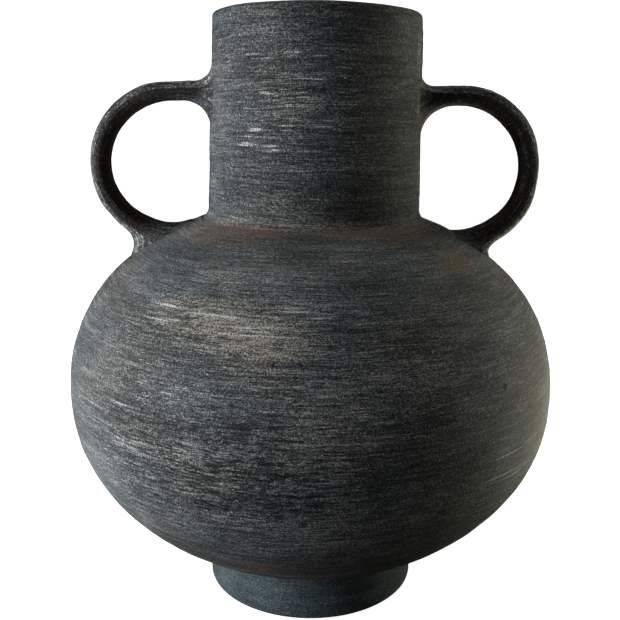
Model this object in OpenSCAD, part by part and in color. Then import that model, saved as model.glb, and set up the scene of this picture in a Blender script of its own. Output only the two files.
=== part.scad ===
// Round-bellied clay jar: foot ring, wide bowl, straight neck and two strap handles.
// Millimetres. Origin at the centre of the foot's resting face, +Z up, handles along X.

/* [Overall] */
// Height from the resting face to the top of the lip
total_height = 320; // [314:0.5:326]

/* [Foot] */
// Outer radius of the foot ring
foot_r = 59.2; // [56:0.1:64]
// Wall of the foot ring
foot_wall = 9.7; // [8:0.1:11]
// Rounding of the foot ring's bottom edges
foot_edge = 1.6; // [1:0.1:3]
// Leg of the fillet smeared inside the foot, under the bowl
foot_fillet = 4; // [3:0.1:5]

/* [Belly] */
// Greatest outer radius
belly_r = 134.5; // [132:0.1:137]
// Height of the greatest radius
belly_z = 121.7; // [120:0.1:123]
// Rise of the full outer curve above the greatest radius
belly_rise = 99.8; // [99:0.1:101]
// Drop of the full outer curve below the greatest radius
belly_drop = 104.4; // [103:0.1:105]
// Fullness of the shoulder curve, 2 for an ellipse
rise_power = 2.137; // [2.05:0.001:2.2]
// Fullness of the lower curve, 2 for an ellipse
drop_power = 2.085; // [2:0.001:2.2]
// Thickness of the bowl
wall = 8; // [7:0.1:9]
// Radius of the pat of clay that makes the floor
floor_r = 40; // [34:0.1:44]
// Height of the flat under the floor
floor_under_z = 18.5; // [18:0.1:19]
// Height of the flat on top of the floor
floor_top_z = 26.5; // [26:0.1:28]
// Height that the seam between the two bowls climbs from outside to inside
seam_climb = 4; // [2:0.1:6]
// Radius of the coil pressed over that seam, inside
seam_coil_r = 5; // [4:0.1:6]
// How far the coil's centre is sunk in the wall
seam_coil_sink = 1.5; // [1:0.1:2.5]

/* [Neck] */
// Outer radius where the neck stands on the shoulder
neck_foot_r = 57.7; // [56:0.1:59]
// Outer radius under the rim coil
neck_top_r = 55.7; // [55:0.1:57]
// Thickness of the neck
neck_wall = 7.8; // [7:0.1:8.5]
// Height of the rim coil, lip included
rim_height = 9; // [7:0.1:12]
// Leg of the fillet coil at the neck's foot
neck_fillet = 3.2; // [2.5:0.1:4]

/* [Handles] */
// Distance of each loop's centre from the pot's axis
loop_x = 79.2; // [78:0.1:81]
// Radius of the strap's centre line
loop_r = 38.5; // [37:0.1:40]
// Height of the left loop's centre
left_loop_z = 242.3; // [240:0.1:244]
// Height of the right loop's centre
right_loop_z = 239.7; // [238:0.1:244]
// Strap thickness, across the pull
strap_t = 9.8; // [8.5:0.1:11]
// Strap width, front to back
strap_w = 21.5; // [19:0.1:23]
// Angle below level at which the strap turns into the lower root
strap_end_angle = 52; // [48:0.5:54]

/* [Roots] */
// Fillet radius over the arm
fillet_over = 7; // [4:0.1:8]
// Fillet radius at the sides of a root
fillet_side = 7.5; // [5:0.1:8]
// Fillet radius under the arm
fillet_under = 14; // [8:0.1:16]
// Fillet radius outside the lower root
fillet_heel = 12; // [9:0.1:13]
// Angle below level at which that fillet starts
heel_angle = 54; // [54:0.5:58]
// Angle below level at which the lower root ends, inside the shoulder
toe_angle = 110; // [108:0.5:114]
// How far the toe has sunk into the shoulder by then
toe_sink = 8; // [6:0.1:10]

/* [Hidden] */

$fn = 96;
curve_steps = 30;                            // chords along each bowl curve
arc_steps = 8;                               // points on each rounded end of a root's ring
root_steps = 18;                             // rings along a root
inner_r = belly_r - wall;
inner_rise = belly_rise - wall;
inner_drop = belly_drop - wall;
foot_inner_r = foot_r - foot_wall;
neck_foot_z = rise_z(neck_foot_r, belly_r, belly_rise);
mouth_r = neck_foot_r - neck_wall;
rim_z = total_height - rim_height;
rim_inner_r = neck_top_r - neck_wall;
lip_r = neck_wall / 2;
lip_z = total_height - lip_r;
strap_flat = (strap_w - strap_t) / 2;        // half of the strap's flat
clay = [0.13, 0.13, 0.135];
clay_worn = [0.17, 0.165, 0.16];

// ---- curves ----
// Height of the shoulder curve at radius r, and of the lower curve
function rise_z(r, full_r, rise) = belly_z + rise * pow(1 - pow(r / full_r, rise_power), 1 / rise_power);
function drop_z(r, full_r, drop) = belly_z - drop * pow(1 - pow(r / full_r, drop_power), 1 / drop_power);
// Radius of each curve at height z
function rise_r(z, full_r, rise) = full_r * pow(1 - pow((z - belly_z) / rise, rise_power), 1 / rise_power);
function drop_r(z, full_r, drop) = full_r * pow(1 - pow((belly_z - z) / drop, drop_power), 1 / drop_power);

// Points of a bowl curve, from radius r0 to r1, evenly spread in its turning angle
function turn_at(r, full_r, power) = acos(min(1, pow(r / full_r, power / 2)));
function rise_points(r0, r1, full_r, rise) =
    let (a0 = turn_at(r0, full_r, rise_power), a1 = turn_at(r1, full_r, rise_power))
    [for (i = [0 : curve_steps]) let (a = a0 + (a1 - a0) * i / curve_steps)
        [full_r * pow(cos(a), 2 / rise_power), belly_z + rise * pow(sin(a), 2 / rise_power)]];
function drop_points(r0, r1, full_r, drop) =
    let (a0 = turn_at(r0, full_r, drop_power), a1 = turn_at(r1, full_r, drop_power))
    [for (i = [0 : curve_steps]) let (a = a0 + (a1 - a0) * i / curve_steps)
        [full_r * pow(cos(a), 2 / drop_power), belly_z - drop * pow(sin(a), 2 / drop_power)]];

// Outline of the closed pot, used to trim what is luted on it
function outside() = concat(
    [[0, floor_under_z]],
    drop_points(drop_r(floor_under_z, belly_r, belly_drop), floor_r, belly_r, belly_drop),
    drop_points(floor_r, belly_r, belly_r, belly_drop),
    rise_points(belly_r, neck_foot_r, belly_r, belly_rise),
    [[neck_top_r, rim_z], [0, rim_z]]);

// Neck's outer radius at height z
function neck_r(z) = neck_foot_r + (neck_top_r - neck_foot_r) * (z - neck_foot_z) / (rim_z - neck_foot_z);
// Clear distance of a point from the neck, and from the shoulder
function off_neck(p) = norm([p[0], p[1]]) - neck_r(p[2]);
function off_shoulder(p) =
    let (r = norm([p[0], p[1]]), u = pow(r / belly_r, rise_power),
         slope = belly_rise / belly_r * pow(r / belly_r, rise_power - 1) * pow(1 - u, 1 / rise_power - 1))
    (p[2] - rise_z(r, belly_r, belly_rise)) * cos(atan(slope));

// Growth of a concave fillet of radius f at distance d from the wall
function cove(d, f) = d >= f ? 0 : d <= 0 ? f : f - sqrt(f * f - (f - d) * (f - d));

// ---- strap section: [y, across, normal y, normal across] round the ring ----
function strap_ring() = [for (side = [1, -1]) for (i = [0 : arc_steps])
    let (a = (side > 0 ? -90 : 90) + 180 * i / arc_steps)
    [side * strap_flat + strap_t / 2 * cos(a), strap_t / 2 * sin(a), cos(a), sin(a)]];

// Fillet radius by direction: level across the sides, one value over and one under
function fillet_at(up, over, under) = fillet_side + ((up > 0 ? over : under) - fillet_side) * up * up;

// A ring of the upper root at distance x from the axis, and of the lower root at an angle
function upper_ring(x, loop_z) = [for (s = strap_ring())
    let (at = [x, s[0], loop_z + loop_r + s[1]],
         grow = cove(off_neck(at), fillet_at(s[3], fillet_over, fillet_under)))
    at + grow * [0, s[2], s[3]]];
function lower_ring(angle, loop_z) = [for (s = strap_ring())
    let (out = [cos(angle), 0, -sin(angle)],
         sink = toe_sink * pow((angle - strap_end_angle) / (toe_angle - strap_end_angle), 2),
         at = [loop_x, s[0], loop_z] + (loop_r + sink + s[1]) * out,
         run = (angle - heel_angle) * PI / 180 * (loop_r + strap_t / 2),
         heel = cove(fillet_heel - run, fillet_heel),
         side = cove(off_shoulder(at), fillet_side),
         grow = s[3] > 0 ? side + (heel - side) * s[3] * s[3] : side * (1 - s[3] * s[3]))
    at + grow * (s[2] * [0, 1, 0] + s[3] * out)];

// Solid through a list of rings with flat ends
module skin(rings) {
    n = len(rings[0]);
    last = (len(rings) - 1) * n;
    polyhedron(
        points = [for (ring = rings) for (p = ring) p],
        faces = concat(
            [[for (i = [n - 1 : -1 : 0]) i]],
            [[for (i = [0 : n - 1]) last + i]],
            [for (k = [0 : len(rings) - 2]) for (i = [0 : n - 1]) let (j = (i + 1) % n)
                each [[k * n + i, k * n + j, (k + 1) * n + j],
                      [k * n + i, (k + 1) * n + j, (k + 1) * n + i]]]));
}

module pot_outside() rotate_extrude() polygon(outside());

// ---- foot and bowl ----
module foot_ring() color(clay) rotate_extrude() difference() {
    union() {
        translate([foot_inner_r, foot_edge]) square([foot_wall, belly_z / 2]);
        translate([foot_inner_r + foot_edge, 0]) square([foot_wall - 2 * foot_edge, 2 * foot_edge]);
        for (r = [foot_inner_r + foot_edge, foot_r - foot_edge])
            translate([r, foot_edge]) circle(foot_edge);
    }
    polygon(outside());
}

module foot_seam_coil() color(clay) rotate_extrude() difference() {
    corner_z = drop_z(foot_inner_r, belly_r, belly_drop);
    translate([foot_inner_r - foot_fillet, corner_z - foot_fillet]) square(foot_fillet);
    translate([foot_inner_r - foot_fillet, corner_z - foot_fillet]) circle(foot_fillet * 0.93);
    translate([0, corner_z - foot_fillet - 1]) square([foot_inner_r - foot_fillet * 0.97, foot_fillet * 2]);
    polygon(outside());
}

module floor_slab() color(clay) rotate_extrude() polygon(concat(
    [[0, floor_under_z]],
    drop_points(drop_r(floor_under_z, belly_r, belly_drop), floor_r, belly_r, belly_drop),
    drop_points(floor_r, drop_r(floor_top_z, inner_r, inner_drop), inner_r, inner_drop),
    [[0, floor_top_z]]));

module lower_bowl() color(clay) rotate_extrude() polygon(concat(
    drop_points(floor_r, belly_r, belly_r, belly_drop),
    [[rise_r(belly_z + seam_climb, inner_r, inner_rise), belly_z + seam_climb]],
    drop_points(inner_r, floor_r, inner_r, inner_drop)));

module upper_bowl() color(clay_worn) rotate_extrude() polygon(concat(
    rise_points(belly_r, neck_foot_r, belly_r, belly_rise),
    [[mouth_r, rise_z(mouth_r, belly_r, belly_rise)]],
    rise_points(mouth_r, rise_r(belly_z + seam_climb, inner_r, inner_rise), inner_r, inner_rise)));

module belly_seam_coil() color(clay) rotate_extrude() difference() {
    translate([inner_r + seam_coil_sink, belly_z + seam_climb]) circle(seam_coil_r);
    difference() {
        translate([0, belly_z - belly_drop]) square([2 * belly_r, belly_drop + belly_rise]);
        polygon(concat(
            drop_points(floor_r, inner_r, inner_r, inner_drop),
            [[rise_r(belly_z + seam_climb, inner_r, inner_rise), belly_z + seam_climb]],
            rise_points(rise_r(belly_z + seam_climb, inner_r, inner_rise), mouth_r, inner_r, inner_rise)));
    }
}

// ---- neck ----
module neck() color(clay_worn) rotate_extrude() polygon([
    [mouth_r, rise_z(mouth_r, belly_r, belly_rise)], [neck_foot_r, neck_foot_z],
    [neck_top_r, rim_z], [rim_inner_r, rim_z]]);

module neck_seam_coil() color(clay_worn) rotate_extrude() difference() {
    translate([neck_foot_r - 1, neck_foot_z - 2]) square([neck_fillet + 1, neck_fillet + 2]);
    translate([neck_foot_r + neck_fillet, neck_foot_z + neck_fillet]) circle(neck_fillet * 1.08);
    polygon(outside());
}

module rim_coil() color(clay_worn) rotate_extrude() {
    translate([rim_inner_r, rim_z]) square([neck_wall, lip_z - rim_z]);
    translate([rim_inner_r + lip_r, lip_z]) circle(lip_r);
}

// ---- handles, drawn on the +X side ----
module strap_section() {
    square([strap_t, 2 * strap_flat], center = true);
    for (side = [-1, 1]) translate([0, side * strap_flat]) circle(strap_t / 2);
}

module strap(loop_z)
    translate([loop_x, 0, loop_z]) rotate([90, 0, 0]) rotate([0, 0, -strap_end_angle])
        rotate_extrude(angle = 90 + strap_end_angle) translate([loop_r, 0]) strap_section();

module upper_root(loop_z) difference() {
    end = rim_inner_r + neck_wall / 4;
    skin([for (i = [0 : root_steps]) upper_ring(loop_x + (end - loop_x) * i / root_steps, loop_z)]);
    pot_outside();
}

module lower_root(loop_z) difference() {
    skin([for (i = [0 : root_steps])
        lower_ring(strap_end_angle + (toe_angle - strap_end_angle) * i / root_steps, loop_z)]);
    pot_outside();
}

module right_handle() color(clay) strap(right_loop_z);
module left_handle() color(clay) mirror([1, 0, 0]) strap(left_loop_z);
module right_upper_root() color(clay) upper_root(right_loop_z);
module left_upper_root() color(clay) mirror([1, 0, 0]) upper_root(left_loop_z);
module right_lower_root() color(clay) lower_root(right_loop_z);
module left_lower_root() color(clay) mirror([1, 0, 0]) lower_root(left_loop_z);

foot_ring();
foot_seam_coil();
floor_slab();
lower_bowl();
belly_seam_coil();
upper_bowl();
neck_seam_coil();
neck();
rim_coil();
left_handle();
right_handle();
left_upper_root();
left_lower_root();
right_upper_root();
right_lower_root();
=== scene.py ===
"""A black clay jar on a foot ring, with two pulled strap handles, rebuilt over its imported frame.

Lengths are in millimetres, which make() turns into metres; the stage, the lights and the camera at
the end are in metres. Every turned surface keeps "along", its distance up the jar's outline, on its
points, so that tool marks follow the wheel. Azimuths are in degrees, and the front is at -90.
"""
import math

import bpy
import mathutils
import numpy as np
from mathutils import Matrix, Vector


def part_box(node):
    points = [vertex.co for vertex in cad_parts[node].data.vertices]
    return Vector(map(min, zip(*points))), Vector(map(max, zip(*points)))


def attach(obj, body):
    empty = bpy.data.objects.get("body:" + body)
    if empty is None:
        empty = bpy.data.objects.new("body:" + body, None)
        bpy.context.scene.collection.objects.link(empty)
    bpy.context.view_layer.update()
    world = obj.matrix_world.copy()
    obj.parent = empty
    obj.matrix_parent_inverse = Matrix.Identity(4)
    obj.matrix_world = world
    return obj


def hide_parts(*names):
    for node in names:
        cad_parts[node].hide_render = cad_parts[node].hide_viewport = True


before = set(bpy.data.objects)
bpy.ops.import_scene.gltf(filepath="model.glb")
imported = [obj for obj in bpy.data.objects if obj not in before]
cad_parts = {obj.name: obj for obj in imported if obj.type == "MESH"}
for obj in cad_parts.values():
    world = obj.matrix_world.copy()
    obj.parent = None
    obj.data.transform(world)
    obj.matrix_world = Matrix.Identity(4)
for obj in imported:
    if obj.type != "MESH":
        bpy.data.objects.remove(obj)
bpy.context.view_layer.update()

MM = 0.001
AROUND = 256                    # points round each turned surface
THETA = 2 * math.pi * np.arange(AROUND) / AROUND
rng = np.random.default_rng(7)


def cad(node):
    """A node's lowest and highest corners, in millimetres."""
    lo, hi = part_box(node)
    return np.array(lo) / MM, np.array(hi) / MM


# ------------------------------------------- sizes: the nodes' boxes, and what the boxes don't show
TOP = cad("rim_coil")[1][2]
RIM_Z = cad("rim_coil")[0][2]
NECK_Z = cad("neck")[0][2]
NECK_R = cad("neck")[1][0]
RIM_R = cad("rim_coil")[1][0]
BELLY_R = cad("upper_bowl")[1][0]
BELLY_Z = cad("upper_bowl")[0][2]
SEAM_Z = cad("lower_bowl")[1][2]
FOOT_R = cad("foot_ring")[1][0]
FLOOR_R = cad("floor_slab")[1][0]
UNDER_Z = cad("floor_slab")[0][2]
FLOOR_Z = 26.5                  # height of the inside at its middle
WALL, NECK_WALL, FOOT_WALL, FOOT_EDGE = 8.0, 7.8, 9.7, 1.6      # thicknesses, and the foot's rounding
RISE, DROP = 99.8, 104.4        # reach of the two bowl curves from the widest level
RISE_POWER, DROP_POWER = 2.137, 2.085   # how full those curves are; 2 is an ellipse
LOOP_X, LOOP_R = 79.2, 38.5     # place of each loop's centre, and radius of the strap's centre line
STRAP_T, STRAP_HALF_W = 9.8, 10.5       # thickness of the strap, and half its width


# ---------------------------------------------------------------- noise
def lattice(i, j, k, seed):
    """A scattered number from -1 to 1 for each whole point, always the same."""
    h = i.astype(np.uint32) * np.uint32(0x8DA6B343) ^ j.astype(np.uint32) * np.uint32(0xD8163841)
    h = h ^ k.astype(np.uint32) * np.uint32(0xCB1AB31F) ^ np.uint32(seed * 2654435761 % 2**32)
    h ^= h >> np.uint32(15)
    h *= np.uint32(0x2C1B3C6D)
    h ^= h >> np.uint32(12)
    h *= np.uint32(0x297A2D39)
    h ^= h >> np.uint32(15)
    return h.astype(np.float64) / 2**31 - 1


def noise(x, y, z, seed):
    """Smooth value noise, about -0.8 to 0.8."""
    p = [np.asarray(v, float) for v in np.broadcast_arrays(x, y, z)]
    base = [np.floor(v) for v in p]
    t = [v - b for v, b in zip(p, base)]
    t = [v * v * v * (v * (v * 6 - 15) + 10) for v in t]
    i, j, k = [b.astype(np.int64) for b in base]
    out = 0.0
    for a in (0, 1):
        for b in (0, 1):
            for c in (0, 1):
                w = (t[0] if a else 1 - t[0]) * (t[1] if b else 1 - t[1]) * (t[2] if c else 1 - t[2])
                out = out + w * lattice(i + a, j + b, k + c, seed)
    return out


def smooth(v, lo, hi):
    """A soft rise from 0 at lo to 1 at hi."""
    t = np.clip((v - lo) / (hi - lo), 0, 1)
    return t * t * (3 - 2 * t)


def spot(az, along, at_az, at_along, half_az, half_along):
    """1 at a place on the jar, and about a fifth at its half sizes from there; azimuths in degrees."""
    d = (az - at_az + 180) % 360 - 180
    return np.exp(-1.5 * ((d / half_az) ** 2 + ((along - at_along) / half_along) ** 2))


# ---------------------------------------------------------------- outlines
def rise_r(z, full_r=BELLY_R, reach=RISE):
    """Radius of the curve above the widest level, at height z."""
    return full_r * (1 - np.clip((z - BELLY_Z) / reach, 0, 1) ** RISE_POWER) ** (1 / RISE_POWER)


def rise_z(r, full_r=BELLY_R, reach=RISE):
    """Height of that curve at radius r."""
    return BELLY_Z + reach * (1 - np.clip(r / full_r, 0, 1) ** RISE_POWER) ** (1 / RISE_POWER)


def drop_z(r, full_r=BELLY_R, reach=DROP):
    """Height of the curve below the widest level, at radius r."""
    return BELLY_Z - reach * (1 - np.clip(r / full_r, 0, 1) ** DROP_POWER) ** (1 / DROP_POWER)


def neck_r(z):
    return NECK_R + (RIM_R - NECK_R) * np.clip((z - NECK_Z) / (RIM_Z - NECK_Z), -0.1, 1.1)


def bowl(r0, r1, full_r, reach, power, sign):
    """Points of a bowl curve from radius r0 to r1, dense enough to resample."""
    a0, a1 = (math.acos(min(1.0, (r / full_r) ** (power / 2))) for r in (r0, r1))
    a = np.linspace(a0, a1, 900)
    r, rise = full_r * np.cos(a) ** (2 / power), reach * np.sin(a) ** (2 / power)
    return np.column_stack([r, BELLY_Z + sign * rise])


def arc(cr, cz, radius, a0, a1, n=24):
    a = np.radians(np.linspace(a0, a1, n))
    return np.column_stack([cr + radius * np.cos(a), cz + radius * np.sin(a)])


def resample(pts, step):
    """Evenly spaced points along a line, with outward normals: to the right of its direction."""
    pts = np.asarray(pts, float)
    keep = np.concatenate([[True], np.hypot(*np.diff(pts, axis=0).T) > 1e-6])
    pts = pts[keep]
    run = np.concatenate([[0], np.cumsum(np.hypot(*np.diff(pts, axis=0).T))])
    at = np.linspace(0, run[-1], max(2, int(round(run[-1] / step)) + 1))
    out = np.column_stack([np.interp(at, run, pts[:, 0]), np.interp(at, run, pts[:, 1])])
    d = np.gradient(out, axis=0)
    d /= np.linalg.norm(d, axis=1, keepdims=True)
    return out, np.column_stack([d[:, 1], -d[:, 0]]), at


def length(pts):
    return float(np.hypot(*np.diff(np.asarray(pts), axis=0).T).sum())


# distance up the outside, from the resting face: foot, bowls, neck, lip, and on down the inside
FOOT_TOP = float(drop_z(FOOT_R))
LOW_LINE = bowl(FOOT_R, BELLY_R, BELLY_R, DROP, DROP_POWER, -1)
HIGH_LINE = bowl(BELLY_R, NECK_R, BELLY_R, RISE, RISE_POWER, 1)
ALONG_BELLY = FOOT_TOP + length(LOW_LINE)
ALONG_NECK = ALONG_BELLY + length(HIGH_LINE)
ALONG_RIM = ALONG_NECK + math.hypot(RIM_Z - NECK_Z, NECK_R - RIM_R)
LIP_OUT, LIP_IN, LIP_TAPER = 2.3, 3.2, 0.35     # roundings of the lip, and how far its outside draws in
LIP = np.vstack([[[RIM_R, RIM_Z]],
                 arc(RIM_R - LIP_TAPER - LIP_OUT, TOP + 0.3 - LIP_OUT, LIP_OUT, 0, 90),
                 arc(RIM_R - NECK_WALL + LIP_IN, TOP - 0.1 - LIP_IN, LIP_IN, 90, 180),
                 [[RIM_R - NECK_WALL, RIM_Z]]])
ALONG_INSIDE = ALONG_RIM + length(LIP)


def lean(z):
    """Sideways shift at height z: foot and belly a hair to the left, the neck leaning to the right."""
    return -0.3 + 1.9 * smooth(z, 175, 222) + 1.8 * smooth(z, 200, 330)


def settle(x, y, z):
    """Points of a true jar, moved as this one stands: leaning, its shoulder and lip lower on the right."""
    drop = 0.013 * smooth(z, 150, 205) * (1 - smooth(z, 208, 245)) + 0.011 * smooth(z, 285, TOP)
    return np.column_stack([(x + lean(z)).ravel(), np.ravel(y), (z - drop * x).ravel()])


# ---------------------------------------------------------------- relief of the clay
def outer_relief(x, y, along, foot=False):
    """How far the outside stands out: slow wobble, turning rings, broken grooves and tears."""
    az = np.degrees(np.arctan2(y, x))
    wobble = 0.55 * noise(x / 75, y / 75, along / 60, 1) + 0.22 * noise(x / 30, y / 30, along / 22, 2)
    if foot:
        trimming = 0.10 * noise(x / 40, y / 40, along / 3.2, 3) + 0.05 * noise(x / 9, y / 9, along / 1.3, 4)
        return 0.8 + 0.5 * wobble + trimming
    rings = 0.13 * noise(x / 160, y / 160, along / 6.5, 5) + 0.07 * noise(x / 70, y / 70, along / 2.6, 6)
    amount = 0.55 + 0.75 * smooth(noise(x / 42, y / 42, along / 24, 7), -0.25, 0.45)
    grooves = noise(x / 17, y / 17, along / 1.05, 8) + 0.6 * noise(x / 8, y / 8, along / 0.8, 9)
    relief = 0.2 + wobble + rings + 0.055 * amount * grooves
    torn = tears(az, along)
    flakes = noise(x / 7, y / 7, along / 1.9, 10) + 0.5 * noise(x / 3.4, y / 3.4, along / 1.2, 11)
    return relief - 0.30 * torn * smooth(flakes, 0.1, 0.5)


# Azimuth, distance up the outline and half sizes of each torn place, then its strength
TORN = [(-110, 150, 25, 25, 1.0), (-95, 140, 20, 20, 0.7), (-130, 170, 20, 15, 0.6), (60, 150, 30, 26, 0.8),
        (150, 190, 26, 18, 0.6), (-20, 120, 26, 16, 0.5)]


def tears(az, along):
    """Where the slip was dragged and torn: the lower left of the belly most of all."""
    return np.clip(sum(strength * spot(az, along, *place) for *place, strength in TORN), 0, 1)


def inner_relief(x, y, along):
    """Finger rings left inside, running round in a slow spiral, and dying out at the lip."""
    turn = np.arctan2(y, x) / (2 * math.pi)
    rings = 0.45 * np.sin(2 * math.pi * (along / 9.5 + turn)) + 0.5 * noise(x / 40, y / 40, along / 30, 12)
    rings = rings + 0.10 * noise(x / 10, y / 10, along / 2.2, 13)
    inside = smooth(along, ALONG_INSIDE, ALONG_INSIDE + 14)
    return inside * rings + (1 - inside) * outer_relief(x, y, along)


def seam_relief(x, y, along):
    """The fillet smeared into the corner at the neck's foot: the turned relief, with lumps and drags."""
    lumps = 0.30 * noise(x / 7, y / 7, along / 4, 15) + 0.16 * noise(x / 3, y / 3, along / 1.8, 16)
    return outer_relief(x, y, along) + lumps


def coil_relief(x, y, along):
    """A coil thumbed down at intervals."""
    return 0.9 * noise(x / 13, y / 13, along / 9, 17) + 0.25 * noise(x / 4, y / 4, along / 3, 18)


RELIEF = {"outer": outer_relief, "inner": inner_relief, "seam": seam_relief, "coil": coil_relief,
          "foot": lambda x, y, s: outer_relief(x, y, s, foot=True),
          "plain": lambda x, y, s: 0.16 * noise(x / 9, y / 9, s / 9, 14)}


# ---------------------------------------------------------------- meshes
CALM_R, CALM_Z = 14, 3          # the relief dies out this near the axis and the resting face


def make(name, verts, faces, node, slot, material, sharp=None, **fields):
    """One visual piece: smooth shaded, with fields on its points, over the CAD node it replaces."""
    me = bpy.data.meshes.new(name)
    me.vertices.add(len(verts))
    me.vertices.foreach_set("co", (np.asarray(verts) * MM).astype(np.float32).ravel())
    sizes = np.array([len(face) for face in faces])
    loops = np.concatenate(faces)
    me.loops.add(len(loops))
    me.loops.foreach_set("vertex_index", loops.astype(np.int32))
    me.polygons.add(len(sizes))
    me.polygons.foreach_set("loop_start", np.concatenate([[0], np.cumsum(sizes)[:-1]]).astype(np.int32))
    me.update(calc_edges=True)
    me.validate()
    me.shade_smooth()
    for key, values in fields.items():
        me.attributes.new(key, "FLOAT", "POINT").data.foreach_set("value", np.asarray(values, np.float32))
    if sharp is not None:
        edges = np.empty(len(me.edges) * 2, np.int32)
        me.edges.foreach_get("vertices", edges)
        edges = edges.reshape(-1, 2)
        flags = sharp(edges[:, 0], edges[:, 1])
        attribute = me.attributes.new("sharp_edge", "BOOLEAN", "EDGE")
        attribute.data.foreach_set("value", flags)
    me.materials.append(material)
    ob = bpy.data.objects.new(name, me)
    bpy.context.scene.collection.objects.link(ob)
    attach(ob, "root")
    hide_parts(node)
    return ob


def turned_surface(part, to_axis):
    """Rows of radius, height and distance along, for one surface and its relief."""
    pts, step, kind, start, way = part
    line, normal, run = resample(pts, step)
    along = (start + way * run)[:, None] + 0 * THETA
    relief = RELIEF[kind](line[:, :1] * np.cos(THETA), line[:, :1] * np.sin(THETA), along)
    if to_axis and line[:, 0].min() < 1:
        relief = relief * smooth(line[:, :1], 0, CALM_R)
    r = line[:, :1] + relief * normal[:, :1]
    z = line[:, 1:] + relief * normal[:, 1:] * smooth(line[:, 1:], 0, CALM_Z)
    return r, z, along


def join_surfaces(blocks, closed):
    """All the rows in one stack, with plain rows where two surfaces don't meet, and the corner rows."""
    stack, corners, count = [], [], 0
    for n, block in enumerate(blocks):
        stack.append(block)
        count += len(block[0])
        corners.append(count - 1)
        if not closed and n == len(blocks) - 1:
            continue
        here = [rows[-1] for rows in block]
        there = [rows[0] for rows in blocks[(n + 1) % len(blocks)]]
        if max(np.abs(a - b).max() for a, b in zip(here[:2], there[:2])) > 1e-6:
            share = np.linspace(0, 1, 5)[1:-1, None]
            stack.append([a + share * (b - a) for a, b in zip(here, there)])
            count += len(share)
        corners.append(count)
    return [np.concatenate(rows) for rows in zip(*stack)], [c for c in corners if c < count]


def turned(name, node, parts, slot, material, pole=False):
    """A closed surface of revolution. parts lists its surfaces: points, step, kind of relief, along at the
    start, and +1 or -1. Each joins the next by a plain face. pole is true if both ends reach the axis."""
    (r, z, along), corners = join_surfaces([turned_surface(part, pole) for part in parts], not pole)
    m = len(r)
    verts = settle(r * np.cos(THETA), r * np.sin(THETA), z)
    i = np.arange(m - 1 if pole else m)[:, None]
    j = np.arange(AROUND)[None, :]
    i2, j2 = (i + 1) % m, (j + 1) % AROUND
    row, next_row = i * AROUND, i2 * AROUND
    faces = np.stack([row + j, row + j2, next_row + j2, next_row + j], -1).reshape(-1, 4)
    along_points = along.ravel()
    if pole:
        ends = [z[0].mean(), z[-1].mean()]
        verts = np.vstack([verts, [[lean(end), 0, end] for end in ends]])
        low, high = len(verts) - 2, len(verts) - 1
        top = (m - 1) * AROUND
        faces = [list(quad) for quad in faces]
        faces += [[low, (k + 1) % AROUND, k] for k in range(AROUND)]
        faces += [[high, top + k, top + (k + 1) % AROUND] for k in range(AROUND)]
        along_points = np.concatenate([along_points, [along[0].mean(), along[-1].mean()]])
    corner_row = np.zeros(m + 2, bool)
    corner_row[corners + [0] * (not pole)] = True

    def sharp(a, b):
        row_a, row_b = a // AROUND, b // AROUND
        return (row_a == row_b) & corner_row[np.minimum(row_a, m)]

    fields = surface_marks(verts[:, 0], verts[:, 1], along_points) if material is CLAY else {}
    return make(name, verts, faces, node, slot, material, sharp, along=along_points, **fields)


# ---------------------------------------------------------------- handles
SQUARE, CROWN = 3.4, 2.1        # fullness of the strap's section, in its width and in its thickness
SLIMNESS = 0.46                 # the section's thickness over its width


def ring_shape(count=72):
    """Section of a pulled strap, 1 from its middle to its edge: flat faces a little crowned, edges well
    rounded. Gives y, across, normal y and normal across."""
    a = 2 * math.pi * np.arange(1441) / 1440
    c, s = np.cos(a), np.sin(a)
    y = np.sign(c) * np.abs(c) ** (2 / SQUARE)
    t = np.sign(s) * np.abs(s) ** (2 / CROWN) * SLIMNESS
    run = np.concatenate([[0], np.cumsum(np.hypot(np.diff(y), np.diff(t)))])
    at = np.linspace(0, run[-1], count + 1)[:-1]
    y, t = np.interp(at, run, y), np.interp(at, run, t)
    ny = np.sign(y) * np.abs(y) ** (SQUARE - 1)
    nt = np.sign(t) * np.abs(t / SLIMNESS) ** (CROWN - 1) / SLIMNESS
    size = np.hypot(ny, nt)
    return y, t, ny / size, nt / size


def cove(d, f):
    """Growth of a concave fillet of radius f at distance d from the wall it runs into."""
    d = np.clip(d, 0, f)
    return f - np.sqrt(np.maximum(f * f - (f - d) ** 2, 0))


def off_shoulder(x, y, z):
    """Clear distance of a point from the shoulder."""
    r = np.clip(np.hypot(x, y), 1, BELLY_R - 1)
    q = (r / BELLY_R) ** RISE_POWER
    slope = RISE / BELLY_R * (r / BELLY_R) ** (RISE_POWER - 1) * (1 - q) ** (1 / RISE_POWER - 1)
    return (z - rise_z(r)) * np.cos(np.arctan(slope))


# Turn of the bend, from its top, to the end of the strap and to the toe that runs into the shoulder
STRAP_END, TOE = 142, 214
# How each strap was pulled: its outside swells past the bend, then thins to the toe, and its inside eases
# off there. over and under are the reach of the fillet at its upper root, and heel of the one at its toe.
LEFT = {"swell": 1.0, "bend": 150, "thin": 4.5, "taper": (165, 214), "ease": 2.5, "over": 9.0,
        "under": 16.5, "heel": 14.5}
RIGHT = {"swell": 1.5, "bend": 120, "thin": 7.5, "taper": (150, 205), "ease": 2.0, "over": 7.0,
         "under": 19.0, "heel": 10.0}
FLARE_SIDE, SKIRT_SIDE = 9.0, 8.0   # reach of those fillets at the strap's two edges
DEEPEST = 5.0                       # how far a root goes into the walls


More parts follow.
